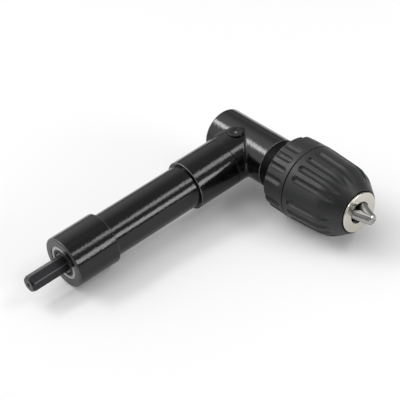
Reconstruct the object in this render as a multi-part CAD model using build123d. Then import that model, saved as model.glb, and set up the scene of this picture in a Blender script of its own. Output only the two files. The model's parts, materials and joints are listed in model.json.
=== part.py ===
from build123d import *
import os
from math import acos, cos, pi, radians, sin, sqrt, tan

# Right angle attachment for a drill: a hexagonal shank drives a shaft through a long
# tube, a pair of mitre gears turns the drive by a right angle, and a keyless three-jaw
# chuck holds the tool. The origin is the centre of the rear collar's end face. The input
# axis runs along X with the shank towards -X, the output axis runs along Y with the chuck
# towards -Y, and both lie in the plane z = 0. Sizes are millimetres.

# Clearances
press_gap = 0.02          # radial, between pieces pressed or screwed together
running_gap = 0.05        # radial, between a turning or sliding piece and its bearing
free_gap = 0.3            # between pieces that pass each other
shoulder_gap = 0.05       # axial, beside a ring that bears on a shoulder

# Input side, stations measured from the rear collar's end face
shank_flats = 8.0         # hexagon across flats
shank_reach = 21.0        # hexagon that stands out of the rear collar
shank_chamfer = 0.9
centre_drill_d = 2.2
centre_drill_depth = 1.4
collar_d = 28.0
collar_length = 25.5
collar_round = 1.4
tube_d = 23.8
tube_wall = 2.0
tube_shown = 54.4         # tube between the two collars
tube_seat = 10.0          # tube held inside each collar
front_collar_d = 27.3
front_collar_length = 25.8
edge_break = 0.4          # small chamfer on turned edges

# Gear head
neck_d = 27.3
neck_length = 18.8        # from the seam to the output axis
neck_bore_d = 20.4
spigot_d = 23.2           # head's spigot, screwed into the front collar
spigot_length = 12.0
barrel_d = 27.5
barrel_front = 23.5       # from the input axis towards the chuck
barrel_back = 19.4        # from the input axis to the closed end
barrel_bore_d = 21.6
barrel_round = 1.0

# Plug over the gears
plug_back = 7.3           # from the output axis back along the neck
plug_head_d = 8.4
plug_head_t = 1.1
plug_proud = 0.15         # head's top above the neck
plug_shank_d = 5.0
plug_recess_width = 3.2
plug_recess_slot = 0.9
plug_recess_depth = 0.8

# Mitre gears
gear_module = 1.0
gear_teeth = 16
gear_face = 3.6
pressure_angle = 20.0
gear_backlash = 0.16
gear_hub_d = 12.4
pinion_bore_d = 7.0
pin_d = 2.0

# Bearings: 8 x 19 x 6 on the input shaft, 10 x 22 x 6 on the spindle
journal_d = 8.0
bearing_d = 19.0
bearing_width = 6.0
bearing_inset = 0.3       # rear bearing's face below the collar's end face
ring_wall = 1.9           # inner and outer ring, in the radial direction
race_ball_d = 3.0
race_ball_count = 7
shield_t = 0.3
shield_hole_gap = 0.45    # open ring between the shield and the inner ring
spindle_journal_d = 10.0
spindle_bearing_d = 22.0
spindle_bearing_width = 6.0
circlip_t = 1.0
circlip_width = 1.5
shaft_shoulder = 1.0      # step behind a bearing seat
tail_d = 8.0              # spindle's rear journal
tail_bush_d = 12.0
tail_bush_length = 6.0
tail_wall = 4.0           # closed end behind the spindle

# Front cap and seal
cap_d = 26.6
cap_length = 7.7
cap_bore_d = 16.0
seal_d = 19.0
seal_t = 3.0
chuck_gap = 1.9           # between the cap and the chuck
seat_collar_d = 15.0      # spindle's shoulder behind the chuck

# Chuck, lengths along the output axis
rear_ring_length = 14.1
ring_rear_d = 40.8
grip_d = 41.4             # rear ring's front edge and sleeve's rear edge
ring_round = 0.9
sleeve_gap = 0.3
sleeve_length = 33.5
sleeve_corner_d = 38.3    # where the barrel's taper would meet the nose cone
sleeve_nose_d = 24.5
sleeve_corner_back = 9.9  # from the sleeve's front edge to that corner
sleeve_blend = 14.0       # radius between the taper and the nose cone
sleeve_round = 0.5
sleeve_wall = 2.3
flange_d = 34.6           # body's flange inside the sleeve
nose_ring_d = 22.8
nose_ring_wall = 1.0
nose_ring_face = 1.4      # front plate of the nose ring
nose_ring_round = 0.5
nose_ring_skirt = 2.6
nose_hole_d = 12.0
nose_cone_d = 28.0        # body between the nut and the nose
stub_d = 9.525            # 3/8-24 thread, drawn at its outer diameter
stub_length = 14.0
stub_web = 2.6            # body between the stub and the screw's head
screw_d = 5.0
screw_head_d = 8.4
screw_head_t = 3.0
screw_length = 12.0
screw_hex = 4.0
tool_bore_d = 10.6        # socket behind the jaws
front_bore_d = 11.6       # where the jaws' bores break through
jaws_open_d = 10.9        # between the jaws when fully open

# Flutes
flute_width = 3.6
flute_depth = 0.9
flute_groups = 4
flutes_in_group = 4
flute_pitch = 18.0        # degrees
ring_flute_centre = -35.0     # middle of a group, degrees from +Z towards +X
sleeve_flute_centre = -19.0
ring_flute_stop = 2.2     # from the flute's round end to the ring's front
sleeve_flute_start = 3.0  # from the sleeve's rear edge to the flute's round end
sleeve_flute_stop = 4.2   # from the flute's point to the sleeve's front
flute_bend_back = 11.5    # from the sleeve's front to the bend of the flute
flute_bend_r = 10.0

# Jaws and nut
jaw_count = 3
jaw_clock = 46.0          # first jaw, degrees from +Z towards +X
jaw_angle = 18.0          # between a jaw and the output axis
jaw_d = 6.0
jaw_length = 35.0
jaw_tip_d = 5.2           # closed jaws, outside at the tip
jaw_proud = 9.1           # closed jaws beyond the nose ring
jaw_tip_chamfer = 0.5
jaw_split = 0.24          # between closed jaws
rack_pitch = 2.0
rack_depth = 0.6
rack_groove = 0.7         # groove's width at the jaw's surface
rack_floor = 0.4          # groove's width at its floor
nut_length = 7.2
nut_d = 33.4
nut_split = 0.2
band_wall = 0.8
nut_lead_in = 1.0         # from the closed jaw's rear end to the nut
thrust_ball_d = 2.0
thrust_ball_count = 10
washer_t = 1.0
washer_inner_d = 28.4

# Stations along the input axis
tube_start = collar_length
tube_end = tube_start + tube_shown
seam = tube_end + front_collar_length
elbow = seam + neck_length
spigot_start = seam - spigot_length
pitch_r = gear_module * gear_teeth / 2
cone_distance = pitch_r * sqrt(2)
toe_scale = 1 - gear_face / cone_distance
front_bearing_start = spigot_start + shoulder_gap

# Stations along the output axis, positive towards the chuck
spindle_bearing_end = barrel_front - circlip_t - edge_break
spindle_bearing_start = spindle_bearing_end - spindle_bearing_width
cap_front = barrel_front + cap_length
chuck_rear = cap_front + chuck_gap
ring_front = chuck_rear + rear_ring_length
sleeve_rear = ring_front + sleeve_gap
sleeve_front = sleeve_rear + sleeve_length
nose_front = sleeve_front + nose_ring_face
jaw_tip = nose_front + jaw_proud
stub_end = chuck_rear + stub_length
web_end = stub_end + stub_web
tool_bore_rear = web_end + screw_head_t + free_gap
tail_end = barrel_back - tail_wall

# Jaw motion
slope = tan(radians(jaw_angle))
jaw_half = jaw_d / 2 / cos(radians(jaw_angle))
jaw_travel = jaws_open_d / 2 / sin(radians(jaw_angle))
tool_bore_inside = tool_bore_d / 2 + 2 * jaw_half + free_gap
tool_bore_front = jaw_tip - (tool_bore_inside - jaw_tip_d / 2) / slope
jaw_back_closed = jaw_tip - jaw_length * cos(radians(jaw_angle))
jaw_back_open = jaw_back_closed - jaw_travel * cos(radians(jaw_angle))
nut_rear = jaw_back_closed + nut_lead_in
nut_front = nut_rear + nut_length
washer_front = nut_rear - thrust_ball_d - 2 * shoulder_gap
flange_front = washer_front - washer_t


def jaw_centre(station):
    """Radius of a jaw's own axis at a station of the output axis."""
    return jaw_tip_d / 2 - jaw_half + (jaw_tip - station) * slope


def jaw_outside(station):
    """Largest radius that a jaw reaches at a station, in every position."""
    return jaw_centre(station) + jaw_half


# Frames and basic shapes
input_axis = Axis((0, 0, 0), (1, 0, 0))
output_axis = Axis((elbow, 0, 0), (0, -1, 0))


def turned_on_input(*outline):
    """Solid of revolution about the input axis from (station, radius) points."""
    face = make_face(Polyline(*outline, close=True).edges())
    return revolve(face, axis=input_axis, revolution_arc=360)


def output_point(station, radius):
    return (elbow + radius, -station)


def turned_on_output(*outline):
    """Solid of revolution about the output axis from (station, radius) points."""
    points = [output_point(*point) for point in outline]
    face = make_face(Polyline(*points, close=True).edges())
    return revolve(face, axis=output_axis, revolution_arc=360)


def tube_on_input(start, end, outer_d, inner_d=0.0):
    return turned_on_input(
        (start, inner_d / 2), (start, outer_d / 2), (end, outer_d / 2), (end, inner_d / 2)
    )


def tube_on_output(start, end, outer_d, inner_d=0.0):
    return turned_on_output(
        (start, inner_d / 2), (start, outer_d / 2), (end, outer_d / 2), (end, inner_d / 2)
    )


def circle_edges(solid, point, radius):
    """Circular edges of a solid with a given radius, centred on a given point."""
    found = solid.edges().filter_by(GeomType.CIRCLE)
    return found.filter_by(
        lambda edge: abs(edge.radius - radius) < 1e-3
        and (edge.arc_center - Vector(*point)).length < 1e-3
    )


def on_input(station):
    return (station, 0, 0)


def on_output(station):
    return (elbow, -station, 0)


def turned_by(angle, solid):
    """Turn a solid about the output axis, so that +Z moves towards +X."""
    return solid.rotate(Axis((elbow, 0, 0), (0, 1, 0)), angle)


def radial_frame(angle):
    """Direction from the output axis at an angle from +Z towards +X."""
    return Vector(sin(radians(angle)), 0, cos(radians(angle)))


# Housing
def rear_collar():
    seat_end = bearing_inset + bearing_width
    shaft_way = journal_d + 2 * (shaft_shoulder + circlip_width + free_gap)
    collar = turned_on_input(
        (0, bearing_d / 2 + press_gap),
        (0, collar_d / 2),
        (collar_length - edge_break, collar_d / 2),
        (collar_length, collar_d / 2 - edge_break),
        (collar_length, tube_d / 2 + press_gap),
        (collar_length - tube_seat, tube_d / 2 + press_gap),
        (collar_length - tube_seat, shaft_way / 2),
        (seat_end, shaft_way / 2),
        (seat_end, bearing_d / 2 + press_gap),
    )
    return fillet(circle_edges(collar, on_input(0), collar_d / 2), collar_round)


def extension_tube():
    return tube_on_input(
        tube_start - tube_seat, tube_end + tube_seat, tube_d, tube_d - 2 * tube_wall
    )


def front_collar():
    return turned_on_input(
        (tube_end, tube_d / 2 + press_gap),
        (tube_end, front_collar_d / 2 - edge_break),
        (tube_end + edge_break, front_collar_d / 2),
        (seam - edge_break / 2, front_collar_d / 2),
        (seam, front_collar_d / 2 - edge_break / 2),
        (seam, spigot_d / 2 + press_gap),
        (spigot_start, spigot_d / 2 + press_gap),
        (spigot_start, tube_d / 2 - tube_wall),
        (tube_end + tube_seat, tube_d / 2 - tube_wall),
        (tube_end + tube_seat, tube_d / 2 + press_gap),
    )


def gear_head():
    neck = tube_on_input(seam, elbow, neck_d)
    barrel = tube_on_output(-barrel_back, barrel_front, barrel_d)
    barrel = fillet(circle_edges(barrel, on_output(-barrel_back), barrel_d / 2), barrel_round)
    barrel = chamfer(circle_edges(barrel, on_output(barrel_front), barrel_d / 2), edge_break)
    head = barrel + neck + tube_on_input(spigot_start, seam, spigot_d)
    bearing_seat_end = front_bearing_start + bearing_width
    head -= tube_on_input(spigot_start, bearing_seat_end, bearing_d + 2 * press_gap)
    head -= tube_on_input(bearing_seat_end, elbow, neck_bore_d - 2 * shaft_shoulder)
    head -= tube_on_input(seam, elbow, neck_bore_d)
    cavity_back = tail_end - tail_bush_length
    head -= tube_on_output(-cavity_back, spindle_bearing_start, barrel_bore_d)
    head -= tube_on_output(
        spindle_bearing_start, barrel_front, spindle_bearing_d + 2 * press_gap
    )
    head -= tube_on_output(
        spindle_bearing_end, spindle_bearing_end + circlip_t, spindle_bearing_d + circlip_width
    )
    head -= tube_on_output(-tail_end, -cavity_back, tail_bush_d + 2 * press_gap)
    up = (Align.CENTER, Align.CENTER, Align.MIN)
    spot_face = neck_d / 2 + plug_proud - plug_head_t
    head -= Pos(elbow - plug_back, 0, 0) * Cylinder(plug_shank_d / 2 + press_gap, neck_d, align=up)
    head -= Pos(elbow - plug_back, 0, spot_face) * Cylinder(plug_head_d / 2 + free_gap, neck_d, align=up)
    return head


def grease_plug():
    top = neck_d / 2 + plug_proud
    place = Pos(elbow - plug_back, 0, top)
    down = (Align.CENTER, Align.CENTER, Align.MAX)
    plug = place * Cylinder(plug_head_d / 2, plug_head_t, align=down)
    plug = chamfer(plug.edges().group_by(Axis.Z)[-1], edge_break / 2)
    shank_length = top - neck_bore_d / 2 - free_gap
    plug += place * Cylinder(plug_shank_d / 2, shank_length, align=down)
    for turn in (45, 135):
        plug -= place * Rot(0, 0, turn) * Box(
            plug_recess_width, plug_recess_slot, plug_recess_depth, align=down
        )
    return plug


def front_cap():
    seal_room_r = seal_d / 2 + press_gap
    return turned_on_output(
        (barrel_front, seal_room_r),
        (barrel_front, cap_d / 2),
        (cap_front - edge_break, cap_d / 2),
        (cap_front, cap_d / 2 - edge_break),
        (cap_front, cap_bore_d / 2),
        (barrel_front + seal_t, cap_bore_d / 2),
        (barrel_front + seal_t, seal_room_r),
    )


def spindle_seal():
    return tube_on_output(
        barrel_front, barrel_front + seal_t, seal_d, seat_collar_d + 2 * running_gap
    )


def tail_bush():
    return tube_on_output(
        -tail_end, tail_bush_length - tail_end, tail_bush_d, tail_d + 2 * running_gap
    )


# Ball bearings, drawn about the output axis or the input axis by the turn function given
def bearing_rings(turn, start, width, outer_d, bore_d):
    middle = start + width / 2
    land_in = bore_d / 2 + ring_wall
    land_out = outer_d / 2 - ring_wall
    pitch = (land_in + land_out) / 2
    groove = race_ball_d / 2 + running_gap
    outer = turn(start, start + width, outer_d, 2 * land_out)
    inner = turn(start, start + width, 2 * land_in, bore_d + 2 * press_gap)
    return outer, inner, pitch, middle, groove


def groove_ring_input(middle, pitch, groove):
    circle = Pos(middle, pitch) * Circle(groove)
    return revolve(circle, axis=input_axis, revolution_arc=360)


def groove_ring_output(middle, pitch, groove):
    circle = Pos(*output_point(middle, pitch)) * Circle(groove)
    return revolve(circle, axis=output_axis, revolution_arc=360)


def ball_angles(count):
    return [2 * pi * i / count for i in range(count)]


def balls_on_input(middle, pitch):
    return [
        Pos(middle, pitch * sin(angle), pitch * cos(angle)) * Sphere(race_ball_d / 2)
        for angle in ball_angles(race_ball_count)
    ]


def balls_on_output(middle, pitch, count, ball_d):
    return [
        Pos(elbow + pitch * sin(angle), -middle, pitch * cos(angle)) * Sphere(ball_d / 2)
        for angle in ball_angles(count)
    ]


def input_bearing(start, name):
    outer, inner, pitch, middle, groove = bearing_rings(
        tube_on_input, start, bearing_width, bearing_d, journal_d
    )
    race = groove_ring_input(middle, pitch, groove)
    return {
        name + "_outer_ring": outer - race,
        name + "_inner_ring": inner - race,
        name + "_balls": Compound(children=balls_on_input(middle, pitch)),
    }


def rear_bearing_shields():
    land_in = journal_d / 2 + ring_wall
    land_out = bearing_d / 2 - ring_wall
    first = bearing_inset + shoulder_gap
    last = bearing_inset + bearing_width - shoulder_gap - shield_t
    return Compound(children=[
        tube_on_input(start, start + shield_t, 2 * (land_out - press_gap),
                      2 * (land_in + shield_hole_gap))
        for start in (first, last)
    ])


def spindle_bearing():
    outer, inner, pitch, middle, groove = bearing_rings(
        tube_on_output, spindle_bearing_start, spindle_bearing_width,
        spindle_bearing_d, spindle_journal_d,
    )
    race = groove_ring_output(middle, pitch, groove)
    return {
        "spindle_bearing_outer_ring": outer - race,
        "spindle_bearing_inner_ring": inner - race,
        "spindle_bearing_balls": Compound(
            children=balls_on_output(middle, pitch, race_ball_count, race_ball_d)
        ),
    }


def open_ring(ring, centre, gap):
    """Cut the gap of a circlip on the +Z side."""
    return ring - Pos(*centre) * Box(gap, gap, neck_d, align=(Align.CENTER, Align.CENTER, Align.MIN))


def bearing_circlip():
    start = spindle_bearing_end + shoulder_gap
    end = spindle_bearing_end + circlip_t - shoulder_gap
    ring = tube_on_output(
        start, end, spindle_bearing_d + circlip_width - 2 * running_gap,
        spindle_bearing_d - 2 * circlip_width,
    )
    return open_ring(ring, on_output((start + end) / 2), 2 * circlip_width)


def shaft_circlip():
    start = bearing_inset + bearing_width + shoulder_gap
    end = start + circlip_t - 2 * shoulder_gap
    ring = tube_on_input(
        start, end, journal_d + 2 * circlip_width,
        journal_d - circlip_width + 2 * running_gap,
    )
    return open_ring(ring, on_input((start + end) / 2), 2 * circlip_width)


# Mitre gear with its apex at the origin and its hub towards +Z, a tooth centred on +X
def involute(angle):
    return tan(angle) - angle


def flank_point(radius, back_cone, base):
    flank = 0.0
    if radius > base:
        flank = involute(acos(base / radius))
    half_tooth = pi / (2 * gear_teeth * sqrt(2))
    angle = half_tooth + involute(radians(pressure_angle)) - flank
    return radius * cos(angle) - back_cone, radius * sin(angle) - gear_backlash / 4


def tooth_section(scale):
    back_cone = cone_distance
    base = back_cone * cos(radians(pressure_angle))
    radii = (back_cone - 1.5 * gear_module, base, back_cone, back_cone + gear_module)
    flank = [flank_point(radius, back_cone, base) for radius in radii]
    both = flank + [(height, -half) for height, half in reversed(flank)]
    corner = Vector(pitch_r, 0, pitch_r)
    outward = Vector(1, 0, -1).normalized()
    points = [(corner + outward * height + Vector(0, half, 0)) * scale for height, half in both]
    return Face(Wire.make_polygon(points, close=True))


def mitre_gear(bore_d, hub_end):
    root = 1.25 * gear_module / sqrt(2)
    heel_r, heel_z = pitch_r - root, pitch_r + root
    toe_r, toe_z = heel_r * toe_scale, heel_z * toe_scale
    outline = Polyline(
        (bore_d / 2, toe_z), (toe_r, toe_z), (heel_r, heel_z),
        (gear_hub_d / 2, heel_z + heel_r - gear_hub_d / 2), (gear_hub_d / 2, hub_end),
        (bore_d / 2, hub_end), close=True,
    )
    gear = revolve(Plane.XZ * make_face(outline.edges()), axis=Axis.Z, revolution_arc=360)
    sections = [tooth_section(scale).outer_wire() for scale in (1.0, toe_scale)]
    tooth = Solid.make_loft(sections, True)
    core = Cylinder(bore_d / 2, 4 * pitch_r)
    teeth = [Rot(0, 0, 360 / gear_teeth * i) * tooth for i in range(gear_teeth)]
    return (gear + teeth) - core


def pinion_place():
    """Hub towards -X, tooth centred on the side of the output gear."""
    return Location(Plane(origin=(elbow, 0, 0), x_dir=(0, -1, 0), z_dir=(-1, 0, 0)))


def gear_place():
    """Hub towards the chuck, gap centred on the side of the pinion."""
    half_pitch = 180 / gear_teeth
    plane = Plane(origin=(elbow, 0, 0), x_dir=(-1, 0, 0), z_dir=(0, -1, 0))
    return Location(plane) * Rot(0, 0, half_pitch)


def pinion_hub_end():
    return elbow - (front_bearing_start + bearing_width) - shoulder_gap


def pin_back(hub_end):
    """Distance from the apex to the cross pin in a gear's hub."""
    heel = pitch_r + 1.25 * gear_module / sqrt(2)
    return (heel + hub_end) / 2


def cross_pin(centre, hole=0.0):
    return Pos(*centre) * Cylinder((pin_d + hole) / 2, gear_hub_d + hole)


def pinion_pin_at():
    return on_input(elbow - pin_back(pinion_hub_end()))


def gear_pin_at():
    return on_output(pin_back(spindle_bearing_start))


def drive_pinion():
    pinion = pinion_place() * mitre_gear(pinion_bore_d + 2 * press_gap, pinion_hub_end())
    return pinion - cross_pin(pinion_pin_at(), press_gap)


def output_gear():
    gear = gear_place() * mitre_gear(tail_d + 2 * press_gap, spindle_bearing_start - shoulder_gap)
    return gear - cross_pin(gear_pin_at(), press_gap)


# Input shaft: hexagonal shank outside, round journals inside
def input_shaft():
    outside = shank_flats / sqrt(3)
    shank = Plane.YZ * RegularPolygon(outside, 6, rotation=90)
    shank = extrude(Pos(-shank_reach, 0, 0) * shank, shank_reach + bearing_inset, dir=(1, 0, 0))
    trim = turned_on_input(
        (-shank_reach, 0),
        (-shank_reach, outside - shank_chamfer),
        (shank_chamfer * sqrt(3) - shank_reach, outside + press_gap),
        (bearing_inset, outside + press_gap),
        (bearing_inset, 0),
    )
    shank = shank & trim
    toe = elbow - pitch_r * toe_scale
    step = front_bearing_start + bearing_width
    groove_start = bearing_inset + bearing_width
    groove_r = (journal_d - circlip_width) / 2
    rod = turned_on_input(
        (bearing_inset, 0),
        (bearing_inset, journal_d / 2),
        (groove_start, journal_d / 2),
        (groove_start, groove_r),
        (groove_start + circlip_t, groove_r),
        (groove_start + circlip_t, journal_d / 2),
        (step, journal_d / 2),
        (step, pinion_bore_d / 2),
        (toe - edge_break, pinion_bore_d / 2),
        (toe, pinion_bore_d / 2 - edge_break),
        (toe, 0),
    )
    dimple = turned_on_input(
        (-shank_reach, 0),
        (-shank_reach, centre_drill_d / 2),
        (centre_drill_depth - shank_reach, 0),
    )
    return (shank + rod) - dimple - cross_pin(pinion_pin_at(), press_gap)


# Output spindle: tail journal, gear seat, bearing seat, shoulder and threaded stub
def output_spindle():
    shoulder = spindle_bearing_end + shoulder_gap
    spindle = turned_on_output(
        (free_gap - tail_end, 0),
        (free_gap - tail_end, tail_d / 2),
        (spindle_bearing_start - shoulder_gap, tail_d / 2),
        (spindle_bearing_start - shoulder_gap, spindle_journal_d / 2),
        (shoulder, spindle_journal_d / 2),
        (shoulder, seat_collar_d / 2),
        (chuck_rear - shoulder_gap, seat_collar_d / 2),
        (chuck_rear - shoulder_gap, stub_d / 2),
        (stub_end - edge_break - shoulder_gap, stub_d / 2),
        (stub_end - shoulder_gap, stub_d / 2 - edge_break),
        (stub_end - shoulder_gap, 0),
    )
    hole_start = web_end - screw_length - free_gap
    screw_hole = tube_on_output(hole_start, stub_end, screw_d + 2 * press_gap)
    return spindle - screw_hole - cross_pin(gear_pin_at(), press_gap)


# Chuck body: flange, nut groove and nose, with the jaws' inclined bores
def jaw_bore(angle, diameter, back, front):
    """Cylinder on a jaw's axis between two stations measured at that axis."""
    out = radial_frame(angle)
    ends = [
        Vector(elbow, -station, 0) + out * jaw_centre(station) for station in (back, front)
    ]
    along = ends[1] - ends[0]
    place = Plane(origin=ends[0], x_dir=-out, z_dir=along)
    return Solid.make_cylinder(diameter / 2, along.length, place)


def jaw_angles():
    return [jaw_clock + 360 / jaw_count * i for i in range(jaw_count)]


def nose_spigot_d():
    return nose_ring_d - 2 * nose_ring_wall


def chuck_body():
    groove_r = jaw_outside(nut_front) - free_gap - rack_depth
    spigot_start_at = sleeve_front - nose_ring_skirt
    body = turned_on_output(
        (chuck_rear, 0),
        (chuck_rear, flange_d / 2 - edge_break),
        (chuck_rear + edge_break, flange_d / 2),
        (flange_front, flange_d / 2),
        (flange_front, groove_r),
        (nut_front + free_gap, groove_r),
        (nut_front + free_gap, nose_cone_d / 2),
        (nut_front + 2 * nose_ring_skirt, nose_cone_d / 2),
        (spigot_start_at, nose_ring_d / 2),
        (spigot_start_at, nose_spigot_d() / 2),
        (sleeve_front, nose_spigot_d() / 2),
        (sleeve_front, 0),
    )
    body -= tube_on_output(chuck_rear, stub_end, stub_d + 2 * press_gap)
    body -= tube_on_output(stub_end, web_end, screw_d + free_gap)
    body -= tube_on_output(web_end, tool_bore_rear, screw_head_d + 2 * free_gap)
    body -= tube_on_output(tool_bore_rear, tool_bore_front, tool_bore_d)
    body -= tube_on_output(tool_bore_front, sleeve_front, front_bore_d)
    for angle in jaw_angles():
        body -= jaw_bore(angle, jaw_d + 2 * running_gap, jaw_back_open - free_gap, jaw_tip)
    return body


def chuck_screw():
    head_end = web_end + screw_head_t
    screw = turned_on_output(
        (web_end - screw_length, 0),
        (web_end - screw_length, screw_d / 2),
        (web_end, screw_d / 2),
        (web_end, screw_head_d / 2),
        (head_end - edge_break, screw_head_d / 2),
        (head_end, screw_head_d / 2 - edge_break),
        (head_end, 0),
    )
    socket = Plane(origin=on_output(head_end), x_dir=(1, 0, 0), z_dir=(0, 1, 0))
    hexagon = socket * RegularPolygon(screw_hex / sqrt(3), 6)
    return screw - extrude(hexagon, screw_head_t / 2, dir=(0, 1, 0))


def flute_cut_r():
    return (flute_width ** 2 / 4 + flute_depth ** 2) / (2 * flute_depth)


def flute_angles(centre):
    first = centre - flute_pitch * (flutes_in_group - 1) / 2
    return [
        first + flute_pitch * i + 360 / flute_groups * group
        for group in range(flute_groups)
        for i in range(flutes_in_group)
    ]


def flutes(cutter, centre):
    """Copies of a cutter that is drawn over the +X side of the output axis."""
    return [turned_by(angle - 90, cutter) for angle in flute_angles(centre)]


def chuck_rear_ring():
    relief_r = jaw_outside(jaw_back_open) + free_gap
    relief_start = jaw_back_open - 2 * free_gap
    ring = turned_on_output(
        (chuck_rear, flange_d / 2 + press_gap),
        (chuck_rear, ring_rear_d / 2),
        (ring_front, grip_d / 2),
        (ring_front, relief_r),
        (relief_start, relief_r),
        (relief_start, flange_d / 2 + press_gap),
    )
    ring = fillet(circle_edges(ring, on_output(chuck_rear), ring_rear_d / 2), ring_round)
    ring = chamfer(circle_edges(ring, on_output(ring_front), grip_d / 2), edge_break / 2)
    end = ring_front - ring_flute_stop - flute_width / 2
    centre_r = grip_d / 2 - flute_depth + flute_cut_r()
    cutter = Solid.make_cylinder(
        flute_cut_r(), end - chuck_rear + flute_width,
        Plane(origin=(elbow + centre_r, flute_width - chuck_rear, 0), z_dir=(0, -1, 0)),
    )
    cutter = cutter + Pos(elbow + centre_r, -end, 0) * Sphere(flute_cut_r())
    return ring - flutes(cutter, ring_flute_centre)


def sleeve_flute_cutter():
    taper = (grip_d - sleeve_corner_d) / 2 / (sleeve_length - sleeve_corner_back)
    cone = (sleeve_corner_d - sleeve_nose_d) / 2 / sleeve_corner_back
    lift = flute_cut_r() - flute_depth
    start = sleeve_rear + sleeve_flute_start + flute_width / 2
    bend = sleeve_front - flute_bend_back
    stop = sleeve_front - sleeve_flute_stop
    start_r = grip_d / 2 - taper * (start - sleeve_rear) + lift
    bend_r = grip_d / 2 - taper * (bend - sleeve_rear) + lift
    tilt = sqrt(1 + cone ** 2)
    stop_r = sleeve_nose_d / 2 + cone * sleeve_flute_stop + flute_cut_r() / tilt
    stop_station = stop + flute_cut_r() * cone / tilt
    path = FilletPolyline(
        output_point(start, start_r), output_point(bend, bend_r),
        output_point(stop_station, stop_r), radius=flute_bend_r,
    )
    section = Plane(origin=path @ 0, z_dir=path % 0) * Circle(flute_cut_r())
    ball = Pos(*output_point(start, start_r)) * Sphere(flute_cut_r())
    return sweep(section, path=path) + ball


def grip_sleeve():
    bore_r = nut_d / 2 + band_wall + press_gap
    cone = (sleeve_corner_d - sleeve_nose_d) / 2 / sleeve_corner_back
    inset = sleeve_wall * sqrt(1 + cone ** 2)
    lip_r = nose_ring_d / 2 + free_gap
    lip_back = (lip_r + inset - sleeve_nose_d / 2) / cone
    step_r = bore_r - band_wall
    step_back = (step_r + inset - sleeve_nose_d / 2) / cone
    outside = FilletPolyline(
        output_point(sleeve_rear, grip_d / 2),
        output_point(sleeve_front - sleeve_corner_back, sleeve_corner_d / 2),
        output_point(sleeve_front, sleeve_nose_d / 2), radius=sleeve_blend,
    )
    inside = Polyline(
        output_point(sleeve_front, sleeve_nose_d / 2),
        output_point(sleeve_front, lip_r),
        output_point(sleeve_front - lip_back, lip_r),
        output_point(sleeve_front - step_back, step_r),
        output_point(nut_front + press_gap, step_r),
        output_point(nut_front + press_gap, bore_r),
        output_point(sleeve_rear, bore_r),
        output_point(sleeve_rear, grip_d / 2),
    )
    face = make_face(outside.edges() + inside.edges())
    sleeve = revolve(face, axis=output_axis, revolution_arc=360)
    sleeve = fillet(circle_edges(sleeve, on_output(sleeve_rear), grip_d / 2), sleeve_round)
    return sleeve - flutes(sleeve_flute_cutter(), sleeve_flute_centre)


def nose_ring():
    ring = turned_on_output(
        (sleeve_front - nose_ring_skirt, nose_spigot_d() / 2 + press_gap),
        (sleeve_front - nose_ring_skirt, nose_ring_d / 2),
        (nose_front, nose_ring_d / 2),
        (nose_front, nose_hole_d / 2),
        (sleeve_front, nose_hole_d / 2),
        (sleeve_front, nose_spigot_d() / 2 + press_gap),
    )
    ring = fillet(circle_edges(ring, on_output(nose_front), nose_ring_d / 2), nose_ring_round)
    return chamfer(circle_edges(ring, on_output(nose_front), nose_hole_d / 2), edge_break / 2)


def split_nut():
    nut = turned_on_output(
        (nut_rear, jaw_outside(nut_rear) + free_gap),
        (nut_rear, nut_d / 2),
        (nut_front, nut_d / 2),
        (nut_front, jaw_outside(nut_front) + free_gap),
    )
    return nut - Pos(elbow, -(nut_rear + nut_front) / 2, 0) * Box(nut_split, nut_length, nut_d)


def nut_band():
    return tube_on_output(nut_rear, nut_front, nut_d + 2 * band_wall, nut_d + 2 * press_gap)


def thrust_washer():
    return tube_on_output(flange_front, washer_front, nut_d, washer_inner_d)


def thrust_balls():
    pitch = (washer_inner_d + nut_d) / 4
    middle = washer_front + shoulder_gap + thrust_ball_d / 2
    return Compound(children=balls_on_output(middle, pitch, thrust_ball_count, thrust_ball_d))


# Jaws: inclined cylinders, cut to a wedge that meets the other two on the output axis.
# One is drawn at angle 0, with its outer side towards +Z, and turned to each place
def jaw_wedge():
    reach = 2 * jaw_length
    half = 180 / jaw_count
    apex = radial_frame(0) * (jaw_split / 2 / sin(radians(half)))
    sides = [radial_frame(turn) * reach for turn in (-half, half)]
    corners = [apex, apex + sides[0], apex + sides[0] + sides[1], apex + sides[1]]
    points = [Vector(elbow, -jaw_tip, 0) + corner for corner in corners]
    face = Face(Wire.make_polygon(points, close=True))
    return extrude(face, reach, dir=(0, 1, 0))


def rack_grooves():
    """Grooves for the nut's thread, straight across the outer side of the closed jaw."""
    rack_end = nut_front + jaw_travel * cos(radians(jaw_angle))
    step = rack_pitch * cos(radians(jaw_angle))
    mouth = rack_groove - rack_floor / 2
    grooves = []
    for i in range(int((rack_end - jaw_back_closed) / step)):
        station = jaw_back_closed + step * (i + 1)
        surface = jaw_outside(station)
        outline = Polyline(
            (elbow, -station - mouth, surface + rack_depth),
            (elbow, -station + mouth, surface + rack_depth),
            (elbow, -station + rack_floor / 2, surface - rack_depth),
            (elbow, -station - rack_floor / 2, surface - rack_depth),
            close=True,
        )
        grooves.append(extrude(make_face(outline.edges()), jaw_d, dir=(1, 0, 0), both=True))
    return grooves


def jaw():
    blank = jaw_bore(0, jaw_d, jaw_back_closed, jaw_tip + jaw_d)
    tip = turned_on_output(
        (jaw_back_closed - jaw_d, 0),
        (jaw_back_closed - jaw_d, flange_d),
        (jaw_tip - jaw_tip_chamfer - jaw_proud, flange_d),
        (jaw_tip - jaw_tip_chamfer, jaw_tip_d / 2 + jaw_tip_chamfer * slope),
        (jaw_tip, jaw_tip_d / 2 - jaw_tip_chamfer),
        (jaw_tip, 0),
    )
    return (blank & jaw_wedge() & tip) - rack_grooves()


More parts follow.
